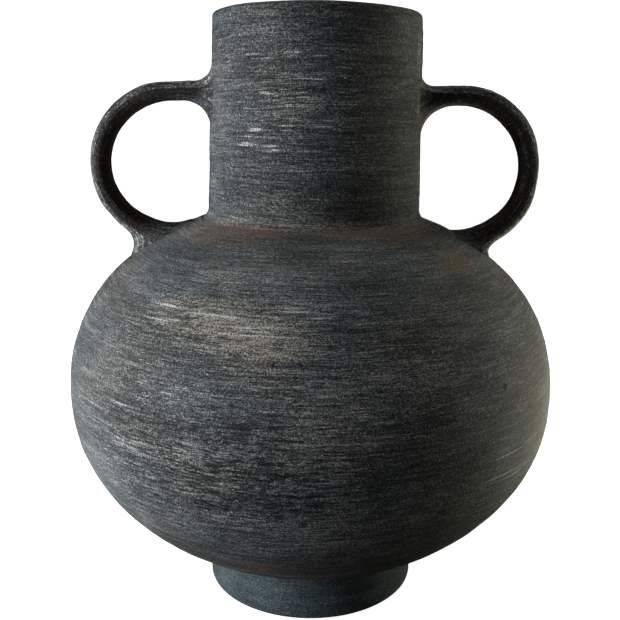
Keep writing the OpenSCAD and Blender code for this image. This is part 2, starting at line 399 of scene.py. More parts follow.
def strap_faces(turn, shape):
    """Distances of the strap's inner and outer face from the loop's centre."""
    inner = LOOP_R - STRAP_T / 2 + shape["ease"] * smooth(turn, 196, TOE)
    outer = LOOP_R + STRAP_T / 2 + 0.5 * (1 - smooth(turn, 0, 50))
    outer = outer + shape["swell"] * smooth(turn, 90, shape["bend"])
    return inner, outer - shape["thin"] * smooth(turn, *shape["taper"])


def strap_path(loop_z, shape):
    """Rings of arm and bend: turn, which are arm, way out, centre, half thickness, and where to cut."""
    # rings lie closest together where the arm meets the neck
    arm = np.concatenate([np.arange(51.5, 56, 0.6), np.arange(56, 70, 0.28), np.arange(70, LOOP_X, 0.7)])
    bend = np.concatenate([np.arange(0, STRAP_END, 1.0), np.arange(STRAP_END, TOE + 0.1, 0.5)])
    turn = np.concatenate([0 * arm, bend])[:, None]
    on_arm = np.concatenate([arm > 0, bend < 0])[:, None]
    inner, outer = strap_faces(turn, shape)
    a = np.radians(90 - turn)
    out = np.column_stack([np.where(on_arm, 0, np.cos(a)), np.where(on_arm, 1, np.sin(a))])
    middle = np.column_stack([np.concatenate([arm, LOOP_X + 0 * bend]), loop_z + 0 * turn])
    ends = (len(arm), len(arm) + int((bend < STRAP_END - 1e-6).sum()))
    return turn, on_arm, out, (inner + outer) / 2 * out + middle, (outer - inner) / 2, ends


def root_growth(x, y, z, ny, nt, out, turn, on_arm, u, shape, seed):
    """Concave fillets, over the neck above and over the shoulder below, settled where they meet the walls.
    Gives the growth, the toe's sag with the shoulder's curve, and how near each point is to a wall."""
    up = nt * nt
    lump = noise(ny * 2.1, nt * 2.1, u / 9, seed + 1)
    flare = FLARE_SIDE + (np.where(nt > 0, shape["over"], shape["under"]) - FLARE_SIDE) * up
    flare = flare * (1 + 0.08 * lump)
    skirt = (SKIRT_SIDE * (1 - up) + np.where(nt > 0, shape["heel"], 0.0) * up) * (1 + 0.10 * lump)
    onto = smooth(turn, 146, 182)
    grow = 0 * x
    for _ in range(24):
        gx, gy, gz = x + grow * nt * out[:, :1], y + grow * ny, z + grow * nt * out[:, 1:]
        sag = onto * (rise_z(np.hypot(gx, gy)) - rise_z(np.abs(gx)))
        neck_gap = np.hypot(gx, gy) - neck_r(gz)
        gap = off_shoulder(gx, gy, gz + sag)
        wanted = np.where(on_arm, cove(neck_gap, flare), np.where(turn > 135, cove(gap, skirt), 0))
        grow = 0.6 * grow + 0.4 * wanted
    return grow, sag, np.clip(np.maximum(1 - neck_gap / 16, 1 - gap / 12), 0, 1)


def pulled_relief(x, y, z, ny, nt, u, seed):
    """The pull of wet fingers: long shallow ridges, and lumps from broad to gritty."""
    angle = np.arctan2(nt, ny)
    c, s = np.cos(angle), np.sin(angle)
    ridges = 0.34 * noise(c * 3.2, s * 3.2, u / 55, seed + 2)
    ridges = ridges + 0.14 * noise(c * 7.5, s * 7.5, u / 40, seed + 3)
    lumps = sum(amount * noise(x / size, y / size, z / size, seed + n)
                for amount, size, n in ((0.42, 16, 4), (0.10, 4, 5), (0.05, 1.9, 6)))
    return ridges + lumps


def tube_faces(n, m):
    """Faces round n rings of m points, closed by two more points at the ends."""
    i, j = np.arange(n - 1)[:, None], np.arange(m)[None, :]
    j2 = (j + 1) % m
    quads = np.stack([i * m + j, i * m + j2, (i + 1) * m + j2, (i + 1) * m + j], -1).reshape(-1, 4)
    k = np.arange(m)
    start = np.column_stack([np.full(m, n * m), (k + 1) % m, k])
    end = np.column_stack([np.full(m, n * m + 1), (n - 1) * m + k, (n - 1) * m + (k + 1) % m])
    return [list(face) for block in (quads, start, end) for face in block]


def handle(side, loop_z, shape, seed):
    """One handle as three closed pieces that share their end rings: arm and flare, strap, lower root."""
    turn, on_arm, out, centre, half_t, (arm_end, strap_end) = strap_path(loop_z, shape)
    u = np.concatenate([[0], np.cumsum(np.hypot(*np.diff(centre, axis=0).T))])[:, None]
    half_t = half_t * (1 + 0.03 * noise(u / 22, 0 * u, 0 * u, seed))
    half_w = STRAP_HALF_W + 0.9 * smooth(turn, 100, 150) + 0.6 * (1 - smooth(turn, 0, 50))
    half_w = half_w + 0.3 * noise(u / 28, 0 * u + 5, 0 * u, seed)
    y, t, ny, nt = ring_shape()
    y, t = y[None, :] * half_w, t[None, :] / SLIMNESS * half_t
    ny, nt = ny[None, :] + 0 * u, nt[None, :] + 0 * u
    x = centre[:, :1] + out[:, :1] * t
    z = centre[:, 1:] + out[:, 1:] * t
    grow, sag, near_wall = root_growth(x, y, z, ny, nt, out, turn, on_arm, u, shape, seed)
    z = z + sag
    grow = grow + pulled_relief(x, y, z, ny, nt, u, seed) * (1 - 0.75 * np.clip(grow / 5, 0, 1))
    x = x + grow * nt * out[:, :1]
    y = y + grow * ny
    z = z + grow * nt * out[:, 1:]
    # what is inside the walls stops short of the hollow
    z = z + np.where(on_arm, 0, np.clip(-DEEPEST - off_shoulder(x, y, z), 0, None))
    tuck = np.where(on_arm, np.maximum(1, (NECK_R - DEEPEST - 0.5) / np.hypot(x, y)), 1)
    x, y = x * tuck, y * tuck
    pts = settle(side * x, y, z).reshape(x.shape + (3,))
    cuts = {"upper_root": (0, arm_end), "handle": (arm_end, strap_end),
            "lower_root": (strap_end, len(pts) - 1)}
    word = "left" if side < 0 else "right"
    for part, (first, last) in cuts.items():
        block = pts[first:last + 1]
        n, m = block.shape[:2]
        verts = np.vstack([block.reshape(-1, 3), [block[0].mean(0), block[-1].mean(0)]])
        faces = tube_faces(n, m)
        if side > 0:
            faces = [face[::-1] for face in faces]
        fields = {key: np.concatenate([(value + 0 * x)[first:last + 1].ravel(), [0, 0]])
                  for key, value in (("along", u), ("root", near_wall), ("edge", ny), ("face", nt))}

        def sharp(a, b, m=m, n=n):
            return ((a < m) & (b < m)) | ((a >= (n - 1) * m) & (b >= (n - 1) * m))

        make(f"{word}_{part}_clay", verts, faces, f"{word}_{part}", "handle_clay", HANDLE, sharp, **fields)


# ---------------------------------------------------------------- marks on the surface
# Each is an azimuth, a distance up the outline, and the half sizes of a soft spot there, then its strength.
MARKS = {
    "tan": [(-115, 220, 22, 13, 0.8), (-100, 210, 16, 12, 0.75), (-140, 365, 6, 9, 0.5),
            (-150, 375, 4, 5, 0.5), (-20, 370, 5, 12, 0.9), (-20, 345, 5, 9, 0.7),
            (-120, 245, 26, 9, 0.4), (60, 215, 22, 13, 0.8), (140, 230, 15, 9, 0.7),
            (100, 345, 18, 12, 0.4), (10, 190, 14, 8, 0.4), (175, 130, 16, 12, 0.4)],
    "white": [(-120, 185, 12, 5, 0.5), (-135, 230, 12, 3.5, 0.4), (-85, 225, 9, 9, 0.5),
              (-80, 205, 9, 6, 0.3), (-130, 190, 12, 9, 0.4), (-120, 335, 9, 4, 0.5),
              (-120, 325, 12, 4, 0.6), (-90, 365, 12, 5, 0.3), (-100, 345, 20, 9, 0.35),
              (-105, 300, 12, 4, 0.3), (-130, 150, 14, 14, 0.5), (-135, 130, 12, 10, 0.6),
              (-130, 110, 10, 5, 0.5), (-115, 220, 10, 4, 0.4), (70, 330, 14, 7, 0.5),
              (110, 220, 12, 5, 0.5), (40, 185, 13, 5, 0.5), (150, 180, 14, 6, 0.5),
              (180, 330, 12, 6, 0.4)],
    "rust": [(-35, 250, 10, 8, 0.7), (-40, 245, 14, 7, 0.7), (-60, 280, 34, 6, 1.0),
             (-125, 280, 30, 6, 0.9), (-135, 270, 30, 13, 0.55), (-45, 270, 30, 12, 0.5),
             (-100, 90, 16, 6, 0.6), (-85, 60, 14, 8, 0.6), (-105, 50, 18, 8, 0.6),
             (-100, 250, 30, 6, 0.3), (50, 245, 12, 8, 0.8), (120, 280, 30, 6, 0.8),
             (40, 280, 26, 6, 0.7), (160, 70, 20, 7, 0.5), (20, 120, 14, 8, 0.35), (-20, 330, 5, 18, 0.6),
             (-160, 235, 12, 14, 0.3), (-150, 345, 7, 26, 0.35), (-110, 80, 24, 8, 0.4)],
    "busy": [(-100, 345, 30, 40, 1.0), (-105, 215, 34, 26, 1.0), (-110, 150, 34, 32, 1.0),
             (-80, 180, 26, 30, 0.7), (-95, 110, 34, 22, 0.6), (70, 330, 34, 36, 0.9),
             (130, 205, 36, 28, 0.8), (55, 150, 34, 30, 0.9), (170, 150, 26, 40, 0.7),
             (10, 215, 22, 24, 0.5)],
    "gloss": [(-135, 165, 20, 18, 0.6), (-150, 200, 18, 24, 0.5), (-120, 190, 14, 8, 0.6),
              (-20, 150, 24, 30, 0.4), (60, 165, 26, 22, 0.6)],
}


# Fine strokes are drawn at random in groups: azimuth, distance up the outline, how far each way the group
# spreads from there, how many, their half length in degrees, and their strength. The last go all round.
STROKES = {
    "pale": [(-100, 350, 25, 25, 26, 7, 0.7), (-120, 325, 12, 10, 8, 4, 0.8),
             (-110, 220, 20, 8, 16, 5, 0.9), (-110, 190, 25, 12, 8, 4, 0.45),
             (-135, 160, 10, 25, 9, 6, 0.5), (-40, 140, 8, 8, 9, 8, 0.7), (-25, 170, 5, 5, 3, 6, 0.5),
             (75, 250, 137, 140, 60, 5, 0.5)],
    "dark": [(-100, 170, 15, 35, 22, 8, 0.9), (-105, 360, 15, 15, 5, 12, 0.7),
             (75, 250, 137, 140, 70, 5, 0.5)]}


def draw_strokes(groups):
    """Rows of azimuth, distance up the outline, half length, half width and strength."""
    rows = []
    for at_az, at_along, spread_az, spread_along, count, length, strength in groups:
        az = at_az + spread_az * rng.uniform(-1, 1, count)
        along = at_along + spread_along * rng.uniform(-1, 1, count)
        rows += list(zip(az, along, length * rng.uniform(0.5, 1.4, count), rng.uniform(0.35, 0.55, count),
                         strength * rng.uniform(0.6, 1.2, count)))
    return rows


STROKE_ROWS = {kind: draw_strokes(groups) for kind, groups in STROKES.items()}


def surface_marks(x, y, along):
    """Every kind of mark as a field from 0 to 1."""
    az = np.degrees(np.arctan2(y, x))
    fields = {kind: np.clip(sum(k * spot(az, along, a, s, da, ds) for a, s, da, ds, k in rows), 0, 1)
              for kind, rows in MARKS.items()}
    for kind, rows in STROKE_ROWS.items():
        total = np.zeros(len(az))
        for a, s, da, ds, k in rows:
            near = np.abs(along - s) < 3 * ds
            total[near] += k * spot(az[near], along[near], a, s, da, ds)
        fields[kind] = np.clip(total, 0, 1)
    fields["torn"] = tears(az, along)
    fields["inside"] = smooth(along, ALONG_INSIDE - 1, ALONG_INSIDE + 10)
    return fields


# ---------------------------------------------------------------- materials
SHEEN = 0.12                    # smoke-fired clay shines less than most surfaces
# Colours of each clay, from its grooves to its most rubbed grains
BURNISHED = [(0.05, (0.0019, 0.0019, 0.0021)), (0.24, (0.0070, 0.0076, 0.0079)),
             (0.39, (0.0190, 0.0214, 0.0228)), (0.53, (0.0415, 0.0452, 0.0466)),
             (0.69, (0.0800, 0.0836, 0.0838)), (0.85, (0.1480, 0.1500, 0.1450)),
             (0.99, (0.2600, 0.2590, 0.2480))]
TRIMMED = [(0.16, (0.0099, 0.0142, 0.0162)), (0.40, (0.0275, 0.0362, 0.0399)),
           (0.58, (0.0565, 0.0739, 0.0798)), (0.86, (0.1450, 0.1682, 0.1725))]
PULLED = [(0.06, (0.0031, 0.0029, 0.0028)), (0.30, (0.0132, 0.0133, 0.0133)),
          (0.50, (0.0418, 0.0431, 0.0434)), (0.68, (0.1008, 0.1023, 0.1008)),
          (0.95, (0.3100, 0.3100, 0.3007))]
EARTHY = [(0.25, (0.0104, 0.0094, 0.0084)), (0.5, (0.0312, 0.0279, 0.0247)),
          (0.72, (0.0754, 0.0663, 0.0572)), (0.92, (0.1560, 0.1404, 0.1222))]
# Slow drift between a cool, a neutral and a faintly green-brown black
DRIFT = [(0.34, (0.93, 1.0, 1.05)), (0.50, (1.0, 1.0, 1.0)), (0.66, (1.06, 1.01, 0.94))]
# A tint over the whole of a patch, then the colours of its grooves and of its grains
TAN = ((1.36, 1.24, 1.09), (0.048, 0.044, 0.039), (0.300, 0.276, 0.240))
RUST = ((1.34, 1.10, 0.92), (0.034, 0.0240, 0.0175), (0.160, 0.116, 0.084))
# Near-black browns for the inner face of the loops: a brown tint, darkened as painted shade
PAINTED_SHADE_BROWN = ((0.0090, 0.0045, 0.0024), (0.040, 0.021, 0.011))
INSIDE = ((0.014, 0.0135, 0.013), (0.034, 0.032, 0.030))
SCRATCH, STROKE = (0.42, 0.42, 0.40), (0.40, 0.40, 0.39)
# Pale temper, then the near black painted into pits and pin holes as the shade inside them
TEMPER, PIT_SHADE = (0.36, 0.33, 0.28), (0.0012, 0.0010, 0.0008)
# Pin holes by x, z, radius and whether they are on the front, and one brown fleck
PIN_HOLES = [(90, 145, 1.25, True), (-30, 295, 0.55, True), (-60, 150, 0.8, False)]
BROWN_FLECK = (35, 150, 1.1)


class Clay:
    """A node material worked in millimetres, with short names for the nodes it needs."""

    def __init__(self, name):
        self.material = bpy.data.materials.new(name)
        self.material.use_nodes = True
        self.tree = self.material.node_tree
        self.bsdf = self.tree.nodes["Principled BSDF"]
        where = self.tree.nodes.new("ShaderNodeTexCoord").outputs["Object"]
        split = self.tree.nodes.new("ShaderNodeSeparateXYZ")
        self.tree.links.new(where, split.inputs[0])
        self.x, self.y, self.z = (self.maths("MULTIPLY", split.outputs[i], 1000) for i in range(3))
        self.along = self.field("along")

    def put(self, socket, value):
        if isinstance(value, bpy.types.NodeSocket):
            self.tree.links.new(value, socket)
        else:
            socket.default_value = value

    def maths(self, operation, a, b=0.0, c=0.0, clamp=False):
        n = self.tree.nodes.new("ShaderNodeMath")
        n.operation, n.use_clamp = operation, clamp
        for socket, value in zip(n.inputs, (a, b, c)):
            self.put(socket, value)
        return n.outputs[0]

    def field(self, name):
        n = self.tree.nodes.new("ShaderNodeAttribute")
        n.attribute_name = name
        return n.outputs["Fac"]

    def at(self, sx, sy, ss, coords=None, shift=0.0):
        """Texture coordinates whose features are sx, sy and ss millimetres long in x, y and along."""
        n = self.tree.nodes.new("ShaderNodeCombineXYZ")
        for socket, value, size in zip(n.inputs, coords or (self.x, self.y, self.along), (sx, sy, ss)):
            self.put(socket, self.maths("MULTIPLY_ADD", value, 1 / size, shift))
        return n.outputs[0]

    def noise(self, where, detail=2.0, rough=0.5):
        n = self.tree.nodes.new("ShaderNodeTexNoise")
        self.put(n.inputs["Vector"], where)
        n.inputs["Scale"].default_value = 1.0
        n.inputs["Detail"].default_value = detail
        n.inputs["Roughness"].default_value = rough
        return n.outputs[0]

    def cells(self, where):
        n = self.tree.nodes.new("ShaderNodeTexVoronoi")
        self.put(n.inputs["Vector"], where)
        n.inputs["Scale"].default_value = 1.0
        pick = self.tree.nodes.new("ShaderNodeSeparateXYZ")
        self.tree.links.new(n.outputs["Color"], pick.inputs[0])
        return n.outputs["Distance"], pick.outputs[0]

    def step(self, value, lo, hi, to=(0.0, 1.0)):
        n = self.tree.nodes.new("ShaderNodeMapRange")
        n.interpolation_type = "SMOOTHSTEP"
        for key, v in zip(("Value", "From Min", "From Max", "To Min", "To Max"), (value, lo, hi, *to)):
            self.put(n.inputs[key], v)
        return n.outputs[0]

    def ramp(self, value, stops):
        n = self.tree.nodes.new("ShaderNodeValToRGB")
        self.put(n.inputs[0], value)
        while len(n.color_ramp.elements) < len(stops):
            n.color_ramp.elements.new(0.5)
        for e, (at, colour) in zip(n.color_ramp.elements, stops):
            e.position, e.color = at, (*colour, 1)
        return n.outputs[0]

    def mix(self, amount, a, b, kind="MIX"):
        n = self.tree.nodes.new("ShaderNodeMix")
        n.data_type, n.blend_type = "RGBA", kind
        self.put(n.inputs[0], amount)
        for socket, value in zip(n.inputs[6:8], (a, b)):
            self.put(socket, (*value, 1) if isinstance(value, tuple) else value)
        return n.outputs[2]

    def total(self, terms):
        """The sum of (weight, value) pairs, each value taken about its middle, 0.5."""
        out = 0.5
        for weight, value in terms:
            out = self.maths("ADD", out, self.maths("MULTIPLY_ADD", value, weight, -0.5 * weight))
        return out

    def disc(self, px, pz, radius, front=True):
        """1 in a small disc at x and z, on the front or on the back, and 0 outside it."""
        dx = self.maths("POWER", self.maths("SUBTRACT", self.x, px), 2.0)
        dz = self.maths("POWER", self.maths("SUBTRACT", self.z, pz), 2.0)
        near = self.step(self.maths("SQRT", self.maths("ADD", dx, dz)), radius * 1.25, radius * 0.75)
        side = self.maths("LESS_THAN" if front else "GREATER_THAN", self.y, 0.0)
        return self.maths("MULTIPLY", near, side)

    def finish(self, colour, rough, height, depth):
        """Colour, roughness and bump; depth is the relief, in millimetres, between heights 0 and 1."""
        self.put(self.bsdf.inputs["Base Color"], colour)
        self.bsdf.inputs["Specular IOR Level"].default_value = SHEEN
        self.put(self.bsdf.inputs["Roughness"], rough)
        bump = self.tree.nodes.new("ShaderNodeBump")
        bump.inputs["Strength"].default_value = 1.0
        bump.inputs["Distance"].default_value = depth * MM
        self.put(bump.inputs["Height"], height)
        self.put(self.bsdf.inputs["Normal"], bump.outputs[0])
        return self.material


def burnished_value(m, grit, sand, drag, lines, cloud, torn):
    """How pale the turned clay is before any tint, from its grooves, 0, to its most rubbed grains, 1."""
    bands = m.noise(m.at(100, 100, 8, shift=3), 2, 0.5)
    value = m.total([(1.70, grit), (0.70, sand), (0.78, drag), (0.60, lines), (0.25, bands), (0.40, cloud)])
    value = m.maths("ADD", 0.02, value)
    busy = m.field("busy")
    brushed = m.maths("MULTIPLY", m.maths("SUBTRACT", grit, 0.5), 0.45)
    brushed = m.maths("MULTIPLY_ADD", m.maths("SUBTRACT", drag, 0.5), 0.90, brushed)
    value = m.maths("MULTIPLY_ADD", busy, brushed, value)
    value = m.maths("MULTIPLY_ADD", torn, -0.42, value)
    # paler on the shoulder, darker on the neck and towards the underside
    value = m.maths("ADD", value, m.step(m.along, ALONG_NECK - 6, ALONG_NECK + 10, (0.035, -0.045)))
    value = m.maths("ADD", value, m.step(m.along, 90, 190, (-0.02, 0.0)))
    groove = m.step(m.noise(m.at(24, 24, 0.60, shift=61), 2, 0.5), 0.36, 0.30)
    amount = m.maths("MULTIPLY_ADD", m.maths("ADD", busy, m.field("torn")), 0.18, 0.10)
    groove = m.maths("MULTIPLY", groove, amount)
    return m.maths("SUBTRACT", value, m.maths("MULTIPLY_ADD", m.field("dark"), 0.34, groove))


def stained(m, base, grit):
    """The drift of the black, then the tan rubbed patches and the rust."""
    hue = m.noise(m.at(55, 55, 34, shift=23), 1, 0.5)
    base = m.mix(1.0, base, m.ramp(hue, DRIFT), "MULTIPLY")
    speck = m.noise(m.at(8.0, 8.0, 1.1, shift=41), 3, 0.70)
    where = m.field("tan")
    tint, dark, pale = TAN
    base = m.mix(m.step(where, 0.05, 0.60), base, tint, "MULTIPLY")
    tan = m.step(m.maths("MULTIPLY_ADD", where, 0.20, speck), 0.58, 0.78)
    tan = m.maths("MULTIPLY", m.step(where, 0.05, 0.6), tan)
    base = m.mix(tan, base, m.mix(m.step(grit, 0.36, 0.62), dark, pale))
    where = m.field("rust")
    tint, dark, pale = RUST
    base = m.mix(m.step(where, 0.02, 0.75), base, tint, "MULTIPLY")
    rust = m.step(m.maths("MULTIPLY_ADD", where, 0.26, speck), 0.48, 0.72)
    rust = m.maths("MULTIPLY", where, rust, clamp=True)
    return m.mix(m.maths("MULTIPLY", rust, 0.80), base, m.mix(m.step(grit, 0.38, 0.64), dark, pale))


def scratched(m, base, grit, cloud):
    """Pale scratches, long, thin and broken into grains where the cloth rubbed, and the drawn strokes."""
    rubbed = m.step(cloud, 0.40, 0.64)
    where = m.maths("MULTIPLY_ADD", rubbed, 0.035, m.maths("MULTIPLY", m.field("busy"), 0.045))
    where = m.maths("MULTIPLY_ADD", m.field("white"), 0.15, where)
    scratch = m.noise(m.at(8.5, 8.5, 0.42, shift=53), 2, 0.55)
    scratch = m.step(m.maths("ADD", scratch, where), 0.715, 0.775)
    grains = m.step(m.maths("MULTIPLY_ADD", m.field("white"), 0.10, grit), 0.44, 0.64)
    scratch = m.maths("MULTIPLY", scratch, m.maths("MULTIPLY_ADD", grains, 0.8, 0.2))
    scratch = m.maths("MULTIPLY", scratch, m.maths("SUBTRACT", 1.0, m.field("inside")))
    base = m.mix(m.maths("MULTIPLY", scratch, 0.90), base, SCRATCH)
    grains = m.step(m.maths("MULTIPLY_ADD", m.field("pale"), 0.07, grit), 0.44, 0.60, (0.10, 1.0))
    stroke = m.maths("MULTIPLY", m.step(m.field("pale"), 0.10, 0.62), grains)
    return m.mix(m.maths("MULTIPLY", stroke, 0.92), base, STROKE)


def turned_clay():
    """Black clay burnished on the wheel, then rubbed: sandy grit under drag lines, with pale scratches,
    tan rubbed patches, rust where the fire caught it, torn flakes, flecks and pits."""
    m = Clay("turned_clay")
    grit = m.noise(m.at(0.66, 0.66, 0.58), 2, 0.6)
    sand = m.noise(m.at(1.7, 1.7, 1.0, shift=31), 2, 0.55)
    drag = m.noise(m.at(13, 13, 0.55), 3, 0.62)
    lines = m.noise(m.at(30, 30, 1.5, shift=7), 3, 0.6)
    cloud = m.noise(m.at(36, 36, 20, shift=11), 2, 0.5)
    flakes = m.step(m.noise(m.at(6, 6, 1.3, shift=19), 2, 0.6), 0.50, 0.62)
    torn = m.maths("MULTIPLY", m.field("torn"), flakes)
    base = m.ramp(burnished_value(m, grit, sand, drag, lines, cloud, torn), BURNISHED)
    base = scratched(m, stained(m, base, grit), grit, cloud)
    # flecks of pale temper, pits and pin holes painted near black as the shade inside them, and the brown
    # fleck
    far, pick = m.cells(m.at(5.5, 5.5, 5.5, shift=5))
    fleck = m.maths("MULTIPLY", m.step(far, 0.085, 0.045), m.step(pick, 0.66, 0.70))
    base = m.mix(fleck, base, TEMPER)
    far, pick = m.cells(m.at(8.0, 8.0, 6.0, shift=77))
    pit = m.maths("MULTIPLY", m.step(far, 0.085, 0.05), m.step(pick, 0.36, 0.42))
    for hole in PIN_HOLES:
        pit = m.maths("MAXIMUM", pit, m.disc(*hole))
    base = m.mix(pit, base, PIT_SHADE)
    base = m.mix(m.maths("MULTIPLY", m.disc(*BROWN_FLECK), 0.40), base, (0.16, 0.085, 0.03))
    # unburnished inside the neck and belly
    inner = m.mix(m.step(m.noise(m.at(9, 9, 3, shift=2), 3, 0.6), 0.3, 0.7), *INSIDE)
    base = m.mix(m.maths("MULTIPLY", m.field("inside"), 0.85), base, inner)
    rough = m.maths("MULTIPLY_ADD", m.total([(0.5, grit), (0.5, drag)]), 0.30, 0.52)
    rough = m.maths("MULTIPLY_ADD", m.field("gloss"), -0.12, rough)
    height = m.total([(1.6, grit), (0.8, sand), (0.9, drag), (0.8, lines)])
    height = m.maths("MULTIPLY_ADD", pit, -2.2, m.maths("MULTIPLY_ADD", torn, -0.5, height))
    return m.finish(base, rough, height, 0.42)


def foot_clay():
    """The foot, trimmed smooth and left blue-black, with a few pale nicks and a worn resting edge."""
    m = Clay("foot_clay")
    grit = m.noise(m.at(0.9, 0.9, 0.7), 2, 0.55)
    drag = m.noise(m.at(20, 20, 0.7, shift=4), 3, 0.6)
    cloud = m.noise(m.at(26, 26, 9, shift=9), 2, 0.5)
    value = m.maths("ADD", -0.035, m.total([(1.15, grit), (0.42, drag), (0.35, cloud)]))
    base = m.ramp(value, TRIMMED)
    far, pick = m.cells(m.at(9, 9, 7, shift=6))
    nick = m.maths("MULTIPLY", m.step(far, 0.10, 0.06), m.step(pick, 0.72, 0.78))
    nick = m.maths("MULTIPLY", nick, m.step(grit, 0.40, 0.52))
    base = m.mix(nick, base, (0.26, 0.25, 0.235))
    worn = m.step(m.noise(m.at(5, 5, 2, shift=3), 3, 0.6), 0.45, 0.6)
    worn = m.maths("MULTIPLY", m.step(m.z, 2.4, 0.2), worn)
    base = m.mix(m.maths("MULTIPLY", worn, 0.5), base, (0.075, 0.068, 0.060))
    rough = m.maths("MULTIPLY_ADD", m.total([(0.6, grit), (0.6, cloud)]), 0.30, 0.40)
    return m.finish(base, rough, m.total([(0.5, grit), (0.8, drag)]), 0.14)


def pulled_clay():
    """The handles: wet-pulled, ridged lengthwise, gritty outside; inside the loop, brown streaks over a
    painted shade.
    """
    m = Clay("pulled_clay")
    edge, face, root = m.field("edge"), m.field("face"), m.field("root")
    space, pulled = (m.x, m.y, m.z), (edge, face, m.along)
    grit = m.noise(m.at(0.9, 0.9, 0.9, space), 2, 0.6)
    sand = m.noise(m.at(2.2, 2.2, 2.2, space, shift=3), 2, 0.6)
    pulls = m.noise(m.at(0.16, 0.16, 30, pulled), 3, 0.6)
    cloud = m.noise(m.at(17, 17, 17, space, shift=8), 2, 0.5)
    value = m.total([(1.60, grit), (1.05, sand), (1.75, pulls), (0.45, cloud)])
    # painted shade: the inner face of the loop and its edges are coloured darker where the light doesn't
    # reach, less so near the walls
    inner = m.maths("MULTIPLY_ADD", root, -0.55, 1.0, clamp=True)
    inner = m.maths("MULTIPLY", m.step(face, 0.72, 0.05), inner)
    value = m.maths("MULTIPLY_ADD", inner, -0.35, value)
    base = m.ramp(value, PULLED)
    # brown streaks on that face, mixed into its painted shade
    brown = m.step(m.noise(m.at(0.5, 0.5, 24, pulled, shift=12), 2, 0.5), 0.40, 0.62)
    brown = m.maths("MULTIPLY", m.maths("MULTIPLY", inner, brown), 0.85)
    base = m.mix(brown, base, m.mix(m.step(grit, 0.4, 0.7), *PAINTED_SHADE_BROWN))
    smear = m.maths("MULTIPLY", m.step(root, 0.35, 0.95), m.step(cloud, 0.42, 0.62))
    base = m.mix(m.maths("MULTIPLY", smear, 0.45), base, (0.045, 0.052, 0.060))
    worn = m.step(m.noise(m.at(3.2, 3.2, 3.2, space, shift=21), 3, 0.65), 0.60, 0.72)
    base = m.mix(m.maths("MULTIPLY", worn, 0.5), base, (0.085, 0.078, 0.068))
    rough = m.maths("MULTIPLY_ADD", m.total([(0.6, grit), (0.4, pulls)]), 0.35, 0.42)
    height = m.total([(1.6, grit), (1.5, sand), (1.1, pulls)])
    return m.finish(base, rough, height, 0.50)


def raw_clay():
    """The unburnished clay of the inner seams and the floor: brown-black, dusty and coarse."""
    m = Clay("raw_clay")
    space = (m.x, m.y, m.z)
    grit = m.noise(m.at(1.0, 1.0, 1.0, space), 3, 0.65)
    drag = m.noise(m.at(22, 22, 1.8), 3, 0.6)
    cloud = m.noise(m.at(24, 24, 24, space, shift=5), 2, 0.5)
    value = m.total([(0.9, grit), (0.4, drag), (0.6, cloud)])
    base = m.ramp(value, EARTHY)
    rough = m.maths("MULTIPLY_ADD", grit, 0.25, 0.68)
    return m.finish(base, rough, m.total([(1.0, grit), (0.6, drag)]), 0.35)


def pale_floor():
    """A pale floor that gives off a little light of its own, so that it stays near white."""
    m = Clay("pale_floor")
    paper = m.noise(m.at(60, 60, 60, (m.x, m.y, m.z)), 2, 0.5)
    pale = m.ramp(paper, [(0.3, (0.80, 0.80, 0.80)), (0.7, (0.83, 0.83, 0.83))])
    m.put(m.bsdf.inputs["Base Color"], pale)
    m.bsdf.inputs["Roughness"].default_value = 0.9
    m.bsdf.inputs["Emission Color"].default_value = (1, 1, 1, 1)
    m.bsdf.inputs["Emission Strength"].default_value = 0.90
    return m.material


CLAY, FOOT, HANDLE, RAW, PALE = turned_clay(), foot_clay(), pulled_clay(), raw_clay(), pale_floor()

# ---------------------------------------------------------------- the pieces
MOUTH_R = NECK_R - NECK_WALL
INNER_R, INNER_RISE, INNER_DROP = BELLY_R - WALL, RISE - WALL, DROP - WALL
FOOT_IN = FOOT_R - FOOT_WALL
SEAM_R = float(rise_r(SEAM_Z, INNER_R, INNER_RISE))
fine = 0.43          # spacing of the outside's rows, where the marks are finest

foot_line = np.vstack([arc(FOOT_R - FOOT_EDGE, FOOT_EDGE, FOOT_EDGE, -90, 0), [[FOOT_R, FOOT_TOP + 1.6]]])
foot_back = arc(FOOT_IN + FOOT_EDGE, FOOT_EDGE, FOOT_EDGE, 180, 270)
foot_back = np.vstack([[[FOOT_IN, drop_z(FOOT_IN) + 1.2]], foot_back])
turned("foot_ring_clay", "foot_ring", [(foot_line, 0.5, "foot", 0, 1), (foot_back, 0.8, "foot", 40, 1)],
       "foot_clay", FOOT)

under = bowl(FLOOR_R, FOOT_R - 3, BELLY_R, DROP, DROP_POWER, -1)
lead = bowl(FOOT_R - 1.5, FOOT_R, BELLY_R, DROP, DROP_POWER, -1)
low_in = np.vstack([[[SEAM_R, SEAM_Z]], bowl(INNER_R, FLOOR_R, INNER_R, INNER_DROP, DROP_POWER, -1)])
floor_along = ALONG_INSIDE + 500            # "along" at the floor's edge: any value far past the lip
turned("lower_bowl_clay", "lower_bowl", [
    (under, 1.5, "plain", 60, 1),
    (np.vstack([lead[:-1], LOW_LINE]), fine, "outer", FOOT_TOP - length(lead), 1),
    (low_in, 2.5, "inner", floor_along - length(low_in), 1)], "burnished_clay", CLAY)

